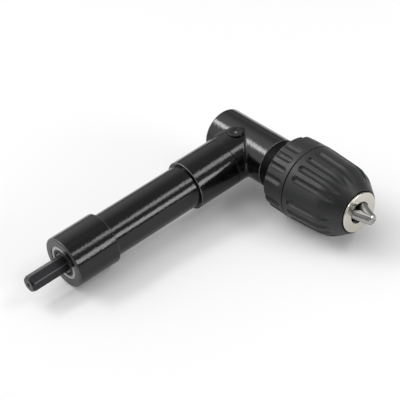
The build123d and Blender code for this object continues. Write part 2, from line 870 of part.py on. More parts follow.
# Every piece by its node name
def all_pieces():
    pieces = {
        "rear_collar": rear_collar(),
        "extension_tube": extension_tube(),
        "front_collar": front_collar(),
        "gear_head": gear_head(),
        "grease_plug": grease_plug(),
        "front_cap": front_cap(),
        "spindle_seal": spindle_seal(),
        "tail_bush": tail_bush(),
        "rear_bearing_shields": rear_bearing_shields(),
        "bearing_circlip": bearing_circlip(),
        "shaft_circlip": shaft_circlip(),
        "input_shaft": input_shaft(),
        "drive_pinion": drive_pinion(),
        "pinion_pin": cross_pin(pinion_pin_at()),
        "output_gear": output_gear(),
        "gear_pin": cross_pin(gear_pin_at()),
        "output_spindle": output_spindle(),
        "chuck_body": chuck_body(),
        "chuck_rear_ring": chuck_rear_ring(),
        "chuck_screw": chuck_screw(),
        "grip_sleeve": grip_sleeve(),
        "nose_ring": nose_ring(),
        "split_nut": split_nut(),
        "nut_band": nut_band(),
        "thrust_washer": thrust_washer(),
        "thrust_balls": thrust_balls(),
    }
    pieces.update(input_bearing(bearing_inset, "rear_bearing"))
    pieces.update(input_bearing(front_bearing_start, "front_bearing"))
    pieces.update(spindle_bearing())
    one_jaw = jaw()
    for number, angle in enumerate(jaw_angles(), start=1):
        pieces["jaw_%d" % number] = turned_by(angle, one_jaw)
    return pieces


def main():
    os.makedirs("parts", exist_ok=True)
    for name, piece in all_pieces().items():
        export_step(piece, os.path.join("parts", name + ".step"))
    print("elbow at x", elbow, "jaw tip at y", -jaw_tip)
    print("jaw travel", round(jaw_travel, 3), "mm")
    print("sleeve turns from closed to open", round(jaw_travel / rack_pitch, 3))


main()
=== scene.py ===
"""Right angle drill attachment with a keyless chuck: its dressed model and its studio.

The packed frame gives every place and most sizes. Lengths are metres. The input axis runs
along X, the output axis along -Y from the elbow, and +Z is up.
"""

import json
import math

import bmesh
import bpy
import numpy as np
from bpy.props import FloatProperty, FloatVectorProperty, IntProperty, PointerProperty
from mathutils import Matrix, Vector


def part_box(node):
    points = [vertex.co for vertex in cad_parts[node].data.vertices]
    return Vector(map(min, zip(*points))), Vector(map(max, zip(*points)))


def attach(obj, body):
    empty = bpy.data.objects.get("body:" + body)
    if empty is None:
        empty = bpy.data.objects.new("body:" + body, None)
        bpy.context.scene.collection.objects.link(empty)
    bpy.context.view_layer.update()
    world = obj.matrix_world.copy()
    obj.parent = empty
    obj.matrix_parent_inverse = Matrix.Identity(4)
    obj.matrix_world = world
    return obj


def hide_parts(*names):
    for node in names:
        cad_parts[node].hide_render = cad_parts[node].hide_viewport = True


bl_info = {
    "name": "Right angle drill attachment",
    "version": (1, 0, 0),
    "blender": (4, 5, 0),
    "location": "View3D > Sidebar > Attachment",
    "description": "Dresses the frame of a right angle drill attachment with a keyless chuck",
    "category": "Add Mesh",
}

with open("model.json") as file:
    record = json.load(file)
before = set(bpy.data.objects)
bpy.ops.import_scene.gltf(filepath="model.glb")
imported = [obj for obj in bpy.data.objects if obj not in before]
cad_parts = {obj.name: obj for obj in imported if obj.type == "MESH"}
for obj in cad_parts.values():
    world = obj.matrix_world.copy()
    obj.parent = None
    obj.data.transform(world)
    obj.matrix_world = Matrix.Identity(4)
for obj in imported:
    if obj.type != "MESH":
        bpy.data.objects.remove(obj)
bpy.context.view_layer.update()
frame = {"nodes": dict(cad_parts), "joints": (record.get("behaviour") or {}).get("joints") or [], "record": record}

ARC_STEP = math.radians(9.0)  # turn of an edge's round from one section to the next
FLUTED_STEP = 0.00025  # longest face along a fluted piece
# Faces round a cutting tool, a small piece, a hidden one and the shank's centre mark
TOOL_COLUMNS, SMALL_COLUMNS, HIDDEN_COLUMNS, MARK_COLUMNS = 192, 128, 96, 64
TINY = 1e-9  # a side or a radius below this is none
STRAIGHT = math.pi - 1e-4  # a corner that opens wider than this gets no round
ON_FACE = 0.00002  # a point this near to a plane or a wall lies on it
OFF_SKIN = 0.00003  # a point further than this from the head's skin has left it
SLOPE_STEP = 0.00002  # to either side, for the slope of the skin's distance
MIX_FIRST, MIX_SECOND, MIX_RESULT = 6, 7, 2  # colour sockets of a Mix node
SETTLE_STEPS = 8  # moves that bring the head's faces onto its skin
FLUTE_PITCH, GROUP_PITCH = 18.0, 90.0  # degrees
RING_GROUP, SLEEVE_GROUP = -35.0, -19.0  # middle of a group of flutes, degrees from up
joint_of = {joint["name"]: joint for joint in frame["joints"]}
slot_of = {row["node"]: row["material_slot"] for row in frame["record"]["subparts"]}
body_of = {
    node: body for body, nodes in frame["record"]["behaviour"]["bodies"].items() for node in nodes
}


# Measures taken from the frame
def low(node, axis):
    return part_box(node)[0][axis]


def high(node, axis):
    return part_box(node)[1][axis]


def radius(node):
    """Outer radius of a turned node, as both axes lie in the plane z = 0."""
    return high(node, 2)


def in_span(node):
    """First and last station of a node on the input axis."""
    return low(node, 0), high(node, 0)


def out_span(node):
    """First and last station of a node on the output axis."""
    return -high(node, 1), -low(node, 1)


elbow = joint_of["output_spin"]["pos_m"][0]
seam = high("front_collar", 0)
barrel_rear, barrel_front = out_span("gear_head")
chuck_rear, ring_front = out_span("chuck_rear_ring")
sleeve_rear, sleeve_front = out_span("grip_sleeve")
nose_rear, nose_front = out_span("nose_ring")
jaw_tip = -low("jaw_1", 1)
plug_start, plug_end = in_span("grease_plug")
plug_x, plug_radius = (plug_start + plug_end) / 2, (plug_end - plug_start) / 2
plug_floor = high("grease_plug", 2) - 0.0011  # spot face under the plug's head


# Sizes and colours that a user would change
def length(name, description, default, least=0.0):
    return FloatProperty(
        name=name, description=description, default=default, min=least, subtype="DISTANCE",
        unit="LENGTH", precision=5,
    )


def angle(name, description, degrees):
    return FloatProperty(
        name=name, description=description, default=math.radians(degrees), subtype="ANGLE",
        unit="ROTATION",
    )


def colour(name, description, default):
    return FloatVectorProperty(
        name=name, description=description, default=default, min=0.0, max=1.0, size=3,
        subtype="COLOR",
    )


def amount(name, description, default, top=100.0):
    return FloatProperty(name=name, description=description, default=default, min=0.0, max=top)


def whole(name, description, default):
    return IntProperty(name=name, description=description, default=default, min=80, max=1440)


class BodySizes(bpy.types.PropertyGroup):
    """Sizes of the painted body and of what is fitted to it."""

    collar_round: length("Collar round", "Radius of the rear collar's edge", 0.0010)
    edge_round: length("Edge round", "Radius of the small turned edges", 0.0004)
    bearing_radius: length(
        "Bearing seat", "Radius of the rear bearing's seat", radius("rear_bearing_outer_ring")
    )
    neck_radius: length("Neck radius", "Radius of the head's neck", radius("front_collar"))
    seam_groove: length("Seam groove", "Width of the groove at the neck's seam", 0.0003)
    barrel_radius: length("Barrel radius", "Radius of the head's barrel", radius("gear_head"))
    barrel_round: length("Barrel round", "Radius of the barrel's closed end", 0.0012)
    crotch: length("Crotch", "Softness where the neck meets the barrel", 0.0020)
    head_grid: length("Head grid", "Size of the faces on the head's skin", 0.0004)
    plug_gap: length("Plug gap", "Ring of clearance round the plug", 0.00045)
    plug_lift: length("Plug lift", "How far the plug stands above its CAD face", 0.0004)
    recess_width: length("Recess width", "Width of the plug's cross recess", 0.0032)
    recess_slot: length("Recess slot", "Width of one arm of the cross recess", 0.0011)
    recess_depth: length("Recess depth", "Depth of the plug's cross recess", 0.0007)
    shank_chamfer: length("Shank chamfer", "Chamfer at the free end of the shank", 0.0009)
    dimple: length("Dimple", "Radius of the centre mark in the shank's end", 0.0012)
    columns: whole("Columns", "Faces round a turned piece", 256)


class ChuckSizes(bpy.types.PropertyGroup):
    """Sizes of the keyless chuck."""

    flute_width: length("Flute width", "Width of a grip flute", 0.0038)
    flute_depth: length("Flute depth", "Depth of a grip flute", 0.0012)
    flute_soft: length("Flute softness", "How softly a flute's edge rolls over", 0.00009)
    ring_round: length("Ring round", "Radius of the rear ring's rear edge", 0.0018)
    ring_stop: length("Ring stop", "Plain rim in front of the ring's flutes", 0.0022)
    relief_radius: length("Relief radius", "Open jaws' room in the rear ring", 0.01917)
    relief_depth: length("Relief depth", "Depth of the open jaws' room", 0.0064)
    sleeve_start: length("Sleeve start", "Plain rim behind the sleeve's flutes", 0.0030)
    sleeve_stop: length("Sleeve stop", "Plain rim in front of the sleeve's flutes", 0.0042)
    flute_bend: length("Flute bend", "Where the flutes start to run out", 0.0115)
    corner_radius: length("Corner radius", "Sleeve's radius at the start of its nose", 0.01915)
    corner_back: length("Corner back", "Corner's distance from the sleeve's front", 0.0099)
    nose_radius: length("Nose radius", "Sleeve's radius at its front edge", 0.01225)
    blend: length("Blend", "Radius between the sleeve's side and its nose", 0.014)
    bore_radius: length("Bore radius", "Inner radius of the grip sleeve", 0.01752)
    bore_stop: length("Bore stop", "From the sleeve's corner back to its bore's end", 0.0026)
    nose_inset: length("Nose inset", "How far the nose ring stays inside its CAD radius", 0.0003)
    hole_radius: length("Hole radius", "Radius of the hole in the nose ring", 0.006)
    jaw_radius: length("Jaw radius", "Radius of one jaw", 0.003)
    jaw_length: length("Jaw length", "Length of one jaw along its own axis", 0.035)
    tip_radius: length("Tip radius", "Outer radius of the closed jaws at the tip", 0.0026)
    tip_chamfer: length("Tip chamfer", "Chamfer at the jaws' tips", 0.0007)
    jaw_split: length("Jaw split", "Gap between the closed jaws", 0.00016)
    columns: whole("Columns", "Faces round the fluted pieces, in twenties", 640)


class Finishes(bpy.types.PropertyGroup):
    """Colours of the finishes."""

    paint: colour("Paint", "Gloss paint of the body", (0.0035, 0.0035, 0.0038))
    # the cap is black; its very dark, dull finish also paints in the shade of the gap between barrel and chuck
    cap: colour("Cap", "Dull black of the front cap", (0.004, 0.004, 0.0045))
    shank: colour("Shank", "Black oxide of the drive shank", (0.034, 0.034, 0.036))
    plastic: colour("Plastic", "Moulded plastic of the chuck", (0.0165, 0.0170, 0.0182))
    nickel: colour("Nickel", "Plated nose ring", (0.63, 0.60, 0.54))
    jaw: colour("Jaw steel", "Ground steel of the jaws", (0.37, 0.37, 0.36))
    bearing: colour("Bearing steel", "Ground steel of the bearings", (0.38, 0.38, 0.38))
    shield: colour("Shield", "Blackened shield of the rear bearing", (0.030, 0.030, 0.031))
    steel: colour("Gear steel", "Machined steel inside", (0.34, 0.34, 0.35))
    spring: colour("Spring steel", "Clips, pins and washers", (0.24, 0.24, 0.25))
    bronze: colour("Bronze", "Bush behind the gears", (0.52, 0.33, 0.14))
    # bright steel of the painted highlights on round edges and in the plug's recess
    painted_highlight: colour("Bare steel", "Steel that shows where the paint is worn", (0.46, 0.45, 0.43))
    rubber: colour("Rubber", "Seal in the front cap", (0.012, 0.012, 0.012))


class Studio(bpy.types.PropertyGroup):
    """Floor, sky, lamps and camera."""

    floor_colour: colour("Floor", "Colour of the floor", (0.82, 0.82, 0.82))
    floor_glow: amount("Floor glow", "What the floor adds for the camera", 0.10)
    plain_sky: amount("Plain sky", "Sky on every side", 0.40)
    horizon_sky: amount("Horizon sky", "Sky just above the horizon", 0.12)
    left_shade: amount("Left shade", "Share of the plain sky that is left on the near left", 0.25)
    back_sky: amount("Back sky", "What the soft light behind adds", 1.30)
    top_sky: amount("Top sky", "What the soft box overhead adds", 0.90)
    side_lamp: amount("Side lamp", "Radiance of the low lamp at the side", 7.2)
    high_lamp: amount("High lamp", "Radiance of the high lamp", 5.4)
    rear_lamp: amount("Rear lamp", "Radiance of the lamp behind the barrel", 13.0)
    lamp_distance: length("Lamp distance", "From the object to each lamp", 1.0)
    floor_size: length("Floor size", "Half the width of the floor", 6.0)
    camera_distance: length("Camera distance", "From the elbow to the camera", 0.730639)
    camera_across: length("Camera across", "Camera's shift to its right", -0.025816, -1.0)
    camera_up: length("Camera up", "Camera's shift upwards", -0.028785, -1.0)
    camera_lens: amount("Camera lens", "Focal length in millimetres", 123.007, 1000.0)
    camera_azimuth: angle("Camera azimuth", "Way of the camera round the object", -35.65)
    camera_elevation: angle("Camera elevation", "Way of the camera above the horizon", 39.356)
    camera_roll: angle("Camera roll", "Turn of the camera about its view", -8.254)


GROUPS = {
    "attachment_body": BodySizes,
    "attachment_chuck": ChuckSizes,
    "attachment_finishes": Finishes,
    "attachment_studio": Studio,
}


def sizes(group):
    """One of the scene's groups of settings."""
    return getattr(bpy.context.scene, "attachment_" + group)


# Turned shapes: a closed outline of (station, radius, corner round) goes round an axis
class TurnAxis:
    """Frame of a turning axis: stations run along it, columns start at its up side."""

    def __init__(self, origin, along, side, up=(0.0, 0.0, 1.0)):
        self.origin, self.along = np.array(origin), np.array(along)
        self.side, self.up = np.array(side), np.array(up)

    def outward(self, angles):
        angles = np.asarray(angles)[..., None]
        return np.cos(angles) * self.up + np.sin(angles) * self.side

    def normal(self, flat, angles):
        """Normals round the axis for a flat one of (along, outward)."""
        return flat[0] * self.along + flat[1] * self.outward(angles)

    def point(self, station, distance, angles):
        station, distance = np.asarray(station)[..., None], np.asarray(distance)[..., None]
        return self.origin + station * self.along + distance * self.outward(angles)


input_axis = TurnAxis((0.0, 0.0, 0.0), (1.0, 0.0, 0.0), (0.0, 1.0, 0.0))
output_axis = TurnAxis((elbow, 0.0, 0.0), (0.0, -1.0, 0.0), (1.0, 0.0, 0.0))
plug_axis = TurnAxis((plug_x, 0.0, 0.0), (0.0, 0.0, 1.0), (0.0, 1.0, 0.0), (1.0, 0.0, 0.0))


def band(start, end, inner, outer, first=0.0, last=0.0, inside=0.0):
    """Outline of a plain ring or disc with the rounds of its outer and inner corners."""
    return (start, inner, inside), (start, outer, first), (end, outer, last), (end, inner, inside)


def unit(vector):
    return vector / np.linalg.norm(vector)


def outline_sections(corners, longest=None):
    """Sections of a closed outline, each (start, end, two normals, roundness at its start)."""
    points = np.array([corner[:2] for corner in corners])
    following = np.roll(points, -1, axis=0)
    area = np.sum(points[:, 0] * following[:, 1] - following[:, 0] * points[:, 1])
    turn = math.copysign(1.0, area)

    def outward(start, end):
        along, out = unit(end - start)
        return turn * np.array((out, -along))

    arcs = []
    for i, (corner, after) in enumerate(zip(points, following)):
        size = corners[i][2] if len(corners[i]) > 2 else 0.0
        back, ahead = unit(points[i - 1] - corner), unit(after - corner)
        opening = math.acos(np.clip(back @ ahead, -1.0, 1.0))
        if size <= 0.0 or opening > STRAIGHT:
            arcs.append((corner, corner, []))
            continue
        run = size / math.tan(opening / 2)
        centre = corner + unit(back + ahead) * size / math.sin(opening / 2)
        start, end = corner + back * run, corner + ahead * run
        sign = math.copysign(1.0, (start - centre) @ outward(points[i - 1], corner))
        count = max(2, math.ceil((math.pi - opening) / ARC_STEP))
        first, last = (math.atan2(*(place - centre)[::-1]) for place in (start, end))
        swing = (last - first + math.pi) % (2 * math.pi) - math.pi
        angles = first + swing * np.arange(count + 1) / count
        spokes = np.stack((np.cos(angles), np.sin(angles)), axis=1)
        ring, normals = centre + size * spokes, sign * spokes
        arcs.append((start, end, [
            (*ring[k:k + 2], *normals[k:k + 2], 4 * k * (count - k) / count ** 2)
            for k in range(count)
        ]))
    sections = []
    for i, (_, end, rounded) in enumerate(arcs):
        sections += rounded
        start = arcs[(i + 1) % len(arcs)][0]
        gap = np.linalg.norm(start - end)
        if gap < TINY:
            continue
        normal = outward(end, start)
        count = 1 if longest is None else max(1, math.ceil(gap / longest))
        steps = [end + (start - end) * k / count for k in range(count + 1)]
        sections += [(one, other, normal, normal, 0.0) for one, other in zip(steps, steps[1:])]
    return sections


def grid_faces(rows, columns):
    """Faces between rows of points, both ways closed: an array of rows, columns and four."""
    i, j = np.meshgrid(np.arange(rows), np.arange(columns), indexing="ij")
    ahead, k = (i + 1) % rows * columns, (j + 1) % columns
    return np.stack((i * columns + j, ahead + j, ahead + k, i * columns + k), axis=-1)


def faces_inward(points, face, outward):
    a, b, c = (points[corner] for corner in face[:3])
    return np.cross(b - a, c - a) @ outward < 0


def put(name, data):
    """New object of a mesh, lamp or camera in the scene."""
    piece = bpy.data.objects.new(name, data)
    bpy.context.scene.collection.objects.link(piece)
    return piece


class MeshParts:
    """Points, faces, corner normals and shares of painted edge highlight that are gathered into one mesh."""

    def __init__(self):
        self.points, self.faces, self.normals, self.wear, self.count = [], [], [], [], 0

    def add(self, points, faces, normals, wear=None):
        """Faces are rows of point numbers, normals one per corner in the same order."""
        self.points.append(np.asarray(points, float))
        self.wear.append(np.zeros(len(points)) if wear is None else wear)
        self.faces += [[corner + self.count for corner in face] for face in faces]
        self.normals += [tuple(normal) for face in normals for normal in face]
        self.count += len(points)

    def turn(self, axis, corners, columns=None, highlight_share=0.0):
        """Adds a closed outline turned about an axis, with a share of painted highlight on its round edges."""
        columns = columns or sizes("body").columns
        sections = outline_sections(corners)
        angles = np.arange(columns) * 2 * math.pi / columns
        rows = np.array([section[0] for section in sections])
        points = axis.point(rows[:, None, 0], rows[:, None, 1], angles[None, :]).reshape(-1, 3)
        faces, normals = [], []
        for row, section in zip(grid_faces(len(rows), columns).tolist(), sections):
            (_, start), (_, end) = section[:2]
            if max(start, end) < TINY:
                continue
            first, last = (axis.normal(flat, angles) for flat in section[2:4])
            for j, face in enumerate(row):
                k = (j + 1) % columns
                normal = [first[j], last[j], last[k], first[k]]
                if start < TINY:
                    face, normal = face[:3], normal[:3]
                elif end < TINY:
                    face, normal = face[:2] + face[3:], normal[:2] + normal[3:]
                faces.append(face)
                normals.append(normal)
        if faces_inward(points, faces[0], normals[0][0]):
            faces = [face[::-1] for face in faces]
            normals = [normal[::-1] for normal in normals]
        # painted highlight, strongest in the middle of each round edge
        wear = np.repeat([highlight_share * section[4] for section in sections], columns)
        self.add(points, faces, normals, wear)

    def build(self, name):
        mesh = bpy.data.meshes.new(name)
        mesh.from_pydata(np.concatenate(self.points).tolist(), [], self.faces)
        mesh.shade_smooth()
        mesh.normals_split_custom_set(self.normals)
        # each point's share of painted highlight, which the paint's finish reads
        wear = mesh.attributes.new("wear", "FLOAT", "POINT")
        wear.data.foreach_set("value", np.concatenate(self.wear).astype(np.float32))
        return put(name, mesh)


def turned_piece(name, axis, corners, columns=None, highlight_share=0.0):
    parts = MeshParts()
    parts.turn(axis, corners, columns, highlight_share)
    return parts.build(name)


def from_bmesh(name, shape):
    """Object from a bmesh, which is freed."""
    mesh = bpy.data.meshes.new(name)
    shape.to_mesh(mesh)
    shape.free()
    return put(name, mesh)


def modify(piece, kind, **settings):
    """Replaces the piece's mesh by what a modifier makes of it."""
    modifier = piece.modifiers.new(kind, kind)
    for name, value in settings.items():
        setattr(modifier, name, value)
    bpy.context.view_layer.update()
    graph = bpy.context.evaluated_depsgraph_get()
    mesh = bpy.data.meshes.new_from_object(piece.evaluated_get(graph))
    piece.modifiers.clear()
    old, piece.data = piece.data, mesh
    bpy.data.meshes.remove(old)
    mesh.name = piece.name
    return piece


def cut(piece, tool, operation="DIFFERENCE"):
    """Boolean of a piece with a tool piece, which is removed."""
    modify(piece, "BOOLEAN", operation=operation, solver="EXACT", object=tool)
    mesh = tool.data
    bpy.data.objects.remove(tool)
    bpy.data.meshes.remove(mesh)


def soften(piece, width):
    """Rounds the sharp edges of a piece and shades it."""
    sharp = math.radians(35.0)
    piece.data.shade_smooth()
    piece.data.set_sharp_from_angle(angle=sharp)
    return modify(
        piece, "BEVEL", width=width, segments=3, limit_method="ANGLE", angle_limit=sharp,
        harden_normals=True,
    )


def prism(name, outline, origin, across, up, depth):
    """Closed prism of a flat outline of (across, up) points."""
    across, up = Vector(across), Vector(up)
    along = across.cross(up)
    shape = bmesh.new()
    near = [shape.verts.new(Vector(origin) + across * a + up * b) for a, b in outline]
    far = [shape.verts.new(vertex.co + along * depth) for vertex in near]
    shape.faces.new(near[::-1])
    shape.faces.new(far)
    for i, vertex in enumerate(near):
        k = (i + 1) % len(near)
        shape.faces.new((vertex, near[k], far[k], far[i]))
    bmesh.ops.recalc_face_normals(shape, faces=shape.faces)
    return from_bmesh(name, shape)


def cut_off(shape, planes, fill=False):
    """Cuts away what a bmesh has in front of planes, each (point, normal)."""
    for point, normal in planes:
        everything = shape.verts[:] + shape.edges[:] + shape.faces[:]
        bmesh.ops.bisect_plane(
            shape, geom=everything, dist=1e-7, plane_co=point, plane_no=normal, clear_outer=True
        )
        if fill:
            rim = [edge for edge in shape.edges if len(edge.link_faces) == 1]
            bmesh.ops.holes_fill(shape, edges=rim, sides=0)


# Finishes
class Nodes:
    """Builds the node tree of a material or of the sky; an input is a value or an output."""

    def __init__(self, owner, shader="Principled BSDF"):
        owner.use_nodes = True
        self.owner, self.tree = owner, owner.node_tree
        self.shader = self.tree.nodes[shader]

    def feed(self, node, inputs):
        for name, value in inputs.items():
            if isinstance(value, bpy.types.NodeSocket):
                self.tree.links.new(value, node.inputs[name])
            else:
                node.inputs[name].default_value = value

    def node(self, kind, inputs=None, **settings):
        """Outputs of a new node."""
        node = self.tree.nodes.new("ShaderNode" + kind)
        for name, value in settings.items():
            setattr(node, name, value)
        self.feed(node, inputs or {})
        return node.outputs

    def scalar(self, operation, first, second):
        return self.node("Math", {0: first, 1: second}, operation=operation)[0]

    def vector(self, operation, *inputs):
        outputs = self.node("VectorMath", dict(enumerate(inputs)), operation=operation)
        return outputs["Value" if operation in ("LENGTH", "DOT_PRODUCT") else "Vector"]

    def place(self, scale=None):
        """Object coordinates, stretched by a scale for each axis."""
        source = self.node("TexCoord")["Object"]
        if scale is None:
            return source
        return self.node("Mapping", {"Vector": source, "Scale": scale})["Vector"]

    def from_axis(self, axis):
        """Distance from a turning axis, and the station on it."""
        shifted = self.vector("SUBTRACT", self.place(), tuple(axis.origin))
        flat = self.vector("MULTIPLY", shifted, tuple(1.0 - abs(axis.along)))
        station = self.vector("DOT_PRODUCT", shifted, tuple(axis.along))
        return self.vector("LENGTH", flat), station

    def rings(self, axis, scale=9000.0):
        """Noise that runs round an axis."""
        distance, station = self.from_axis(axis)
        place = self.node("CombineXYZ", {"X": distance, "Y": station})[0]
        return self.noise(place, scale, 3.0, 0.6)

    def noise(self, place, scale, detail, roughness=0.5):
        inputs = {"Vector": place, "Scale": scale, "Detail": detail, "Roughness": roughness}
        return self.node("TexNoise", inputs)[0]

    def spread(self, value, low_end, high_end, start=0.3, end=0.7, way="LINEAR"):
        """Maps a range of values, as a noise gives them, to another."""
        return self.node("MapRange", {
            "Value": value, "From Min": start, "From Max": end, "To Min": low_end,
            "To Max": high_end,
        }, interpolation_type=way)["Result"]

    def vary(self, place, scale, detail, *ends):
        """Noise that is spread over a range."""
        return self.spread(self.noise(place, scale, detail), *(ends or (0.0, 1.0)))

    def close(self, value, dark, light, rough, grain, depth, inputs):
        """Colour from dark to light by a value, roughness, a grain of some depth, and more."""
        mixed = {"Factor": value, MIX_FIRST: (*dark, 1.0), MIX_SECOND: (*light, 1.0)}
        self.feed(self.shader, {
            "Base Color": self.node("Mix", mixed, data_type="RGBA")[MIX_RESULT],
            "Roughness": rough, **inputs,
            "Normal": self.node("Bump", {"Height": grain, "Distance": depth})["Normal"],
        })


def shade(rgb, factor):
    return tuple(min(1.0, channel * factor) for channel in rgb)


def painted_edge_highlights(nodes):
    """Where the round edges get a painted highlight of bright steel."""
    return nodes.node("Attribute", attribute_name="wear")["Fac"]


def plug_top():
    """Height of the plug's face, which stands proud of the neck."""
    return high("grease_plug", 2) + sizes("body").plug_lift


def painted_recess_glint(nodes):
    """Where the plug's cross recess gets a painted glint of bright steel: below its face and near its middle."""
    distance, height = nodes.from_axis(plug_axis)
    face, rim = plug_top(), 0.0018
    # painted glint in the recess, below the plug's face
    below = nodes.spread(height, 1.0, 0.0, face - 0.0003, face - 0.0001)
    near = nodes.spread(distance, 1.0, 0.0, rim - 0.0001, rim + 0.0001)
    return nodes.scalar("MULTIPLY", below, near)


def hammered_paint(nodes, rgb, painted_highlight):
    """Gloss paint with a fine orange peel, turned to bright steel where the mask asks for a painted highlight."""
    place = nodes.place()
    # painted highlight: bright metallic steel where the mask says, broken up by noise
    rubbed_and_highlit = nodes.scalar("MULTIPLY", painted_highlight(nodes), nodes.vary(place, 500.0, 3.0, 0.45, 1.0))
    rough = nodes.vary(place, 1100.0, 2.0, 0.05, 0.13, 0.35, 0.65)
    peel = nodes.noise(place, 1250.0, 2.0)
    more = {"Metallic": rubbed_and_highlit, "IOR": 1.45}
    nodes.close(rubbed_and_highlit, rgb, tuple(sizes("finishes").painted_highlight), rough, peel, 0.000052, more)


def painted_shade_black(nodes, rgb):
    """Dull black with a faint grain and almost no reflection, which paints in the shade of the gap between barrel
    and chuck.
    """
    place = nodes.place()
    patches, rough = nodes.vary(place, 300.0, 4.0), nodes.vary(place, 700.0, 3.0, 0.38, 0.52)
    grain = nodes.noise(place, 3500.0, 3.0)
    # almost no reflection: painted shade in the gap
    more = {"Specular IOR Level": 0.06}
    nodes.close(patches, shade(rgb, 0.7), shade(rgb, 1.4), rough, grain, 0.000012, more)


def moulded_plastic(nodes, rgb):
    """Matte moulded plastic with spark erosion grain and faint flow marks."""
    place = nodes.place()
    flow = nodes.spread(nodes.noise(nodes.place((1.0, 0.35, 1.0)), 130.0, 4.0, 0.6), 0.0, 1.0)
    rough = nodes.vary(place, 500.0, 3.0, 0.37, 0.47)
    grain = nodes.noise(place, 2600.0, 3.0, 0.65)
    nodes.close(flow, shade(rgb, 0.88), shade(rgb, 1.12), rough, grain, 0.00003, {"IOR": 1.45})


def soft_rubber(nodes, rgb):
    """Dull rubber."""
    place = nodes.place()
    patches, rough = nodes.vary(place, 500.0, 3.0), nodes.vary(place, 900.0, 3.0, 0.6, 0.75)
    grain = nodes.noise(place, 3000.0, 2.0)
    nodes.close(patches, shade(rgb, 0.8), shade(rgb, 1.3), rough, grain, 0.00001, {})


def turned_metal(nodes, rgb, axis, rough_low, rough_high, scale=9000.0, depth=4e-6, blotch=0.12):
    """Metal with fine rings round its axis."""
    patches = nodes.vary(nodes.place(), 160.0, 4.0)
    rough = nodes.vary(nodes.place(), 400.0, 3.0, rough_low, rough_high)
    dark, light = shade(rgb, 1.0 - blotch), shade(rgb, 1.0 + blotch / 2)
    nodes.close(patches, dark, light, rough, nodes.rings(axis, scale), depth, {"Metallic": 1.0})


def ground_metal(nodes, rgb, rough_low=0.30, rough_high=0.45, stretch=None):
    """Metal ground in one direction."""
    place = nodes.place(stretch)
    patches = nodes.vary(nodes.place(), 220.0, 4.0)
    rough = nodes.vary(place, 900.0, 3.0, rough_low, rough_high)
    scratches = nodes.noise(place, 6000.0, 3.0, 0.6)
    dark, light = shade(rgb, 0.85), shade(rgb, 1.075)
    nodes.close(patches, dark, light, rough, scratches, 0.000006, {"Metallic": 1.0})


def bearing_dark_near_shaft(nodes, rgb):
    """Ground bearing steel, darker near the drive shaft."""
    darkening_radius = radius("rear_bearing_shields")
    # darker inside the shields' radius round the input axis
    away_from_shaft = nodes.spread(nodes.from_axis(input_axis)[0], 0.0, 1.0, darkening_radius - 0.0002, darkening_radius + 0.0002)
    rough = nodes.vary(nodes.place(), 400.0, 3.0, 0.26, 0.38)
    rings = nodes.rings(input_axis)
    nodes.close(away_from_shaft, shade(rgb, 0.14), rgb, rough, rings, 0.000003, {"Metallic": 1.0})


def black_oxide(nodes, rgb):
    """Satin black oxide, rubbed thin here and there, with a painted highlight along the hexagon's corners."""
    place, corner = nodes.place(), high("input_shaft", 2)
    rubbed_and_highlit = nodes.spread(nodes.noise(place, 450.0, 5.0, 0.65), 0.0, 0.12, 0.42, 0.75)
    distance = nodes.from_axis(input_axis)[0]
    # painted highlight: four times lighter along the hexagon's corners
    edges = nodes.spread(distance, 0.0, 1.0, corner - 0.0002, corner - 0.0001)
    either = nodes.scalar("MAXIMUM", rubbed_and_highlit, edges)
    rough = nodes.vary(place, 800.0, 4.0, 0.30, 0.44)
    marks = nodes.noise(nodes.place((0.08, 1.0, 1.0)), 3500.0, 3.0)
    nodes.close(either, rgb, shade(rgb, 4.0), rough, marks, 0.00001, {"Metallic": 0.85})


# Of each material slot: what makes its finish, its colour and the rest that the maker takes
FINISH_OF = {
    "painted_black": (hammered_paint, "paint", painted_edge_highlights),
    "plug_black": (hammered_paint, "paint", painted_recess_glint),
    "cap_black": (painted_shade_black, "cap"),
    "seal_rubber": (soft_rubber, "rubber"),
    "bronze": (ground_metal, "bronze"),
    "bearing_steel": (bearing_dark_near_shaft, "bearing"),
    "shield_steel": (turned_metal, "shield", input_axis, 0.35, 0.48),
    "spring_steel": (ground_metal, "spring"),
    "blackened_steel": (black_oxide, "shank"),
    "gear_steel": (ground_metal, "steel"),
    "chuck_steel": (turned_metal, "steel", output_axis, 0.30, 0.45),
    "chuck_plastic": (moulded_plastic, "plastic"),
    "nickel": (turned_metal, "nickel", output_axis, 0.18, 0.26, 7000.0, 1.5e-6, 0.06),
    "jaw_steel": (ground_metal, "jaw", 0.20, 0.30, (1.0, 0.06, 1.0)),
}
finishes = {}


def finish_for(slot):
    """The finish of a slot, made when it is first asked for."""
    if slot not in finishes:
        make, name, *rest = FINISH_OF[slot]
        nodes = Nodes(bpy.data.materials.new(slot + "_finish"))
        make(nodes, tuple(getattr(sizes("finishes"), name)), *rest)
        finishes[slot] = nodes.owner
    return finishes[slot]


def coat(piece, slot):
    piece.data.materials.clear()
    piece.data.materials.append(finish_for(slot))


def dress(piece, *nodes):
    """Puts a made piece in the place of CAD nodes: it rides on their body in their finish."""
    slot = slot_of[nodes[0]]
    coat(piece, slot)
    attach(piece, body_of[nodes[0]])
    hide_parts(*nodes)
    return piece


def dress_turned(node, name, axis, corners, highlight_share=0.0):
    """Turned piece in the place of a CAD node."""
    dress(turned_piece(name, axis, corners, highlight_share=highlight_share), node)


